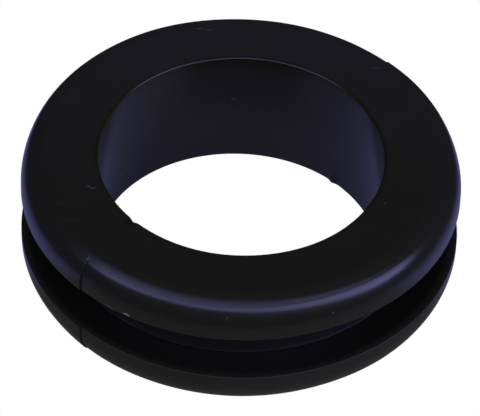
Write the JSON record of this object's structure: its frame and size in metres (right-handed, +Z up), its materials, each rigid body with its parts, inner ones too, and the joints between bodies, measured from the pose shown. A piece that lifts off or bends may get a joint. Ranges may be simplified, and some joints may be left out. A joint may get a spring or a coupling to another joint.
{
  "type": "drain pipe seal ring",
  "caption": "Moulded black rubber seal ring: rounded flanges, an outer groove that seats in a panel hole, and a smooth bore that grips a drain pipe.",
  "frame": {"origin": "centre of the ring's bottom face", "axes": "+Z up along the ring's axis; the mould seam lies in the plane through the axis at 46.3 degrees from +X"},
  "size_m": [0.048, 0.048, 0.0148],
  "materials": {
    "rubber": "moulded black rubber, semi-matte with a faint bloom"
  },
  "bodies": {
    "root": {"seal_ring": "rubber"}
  },
  "joints": []
}
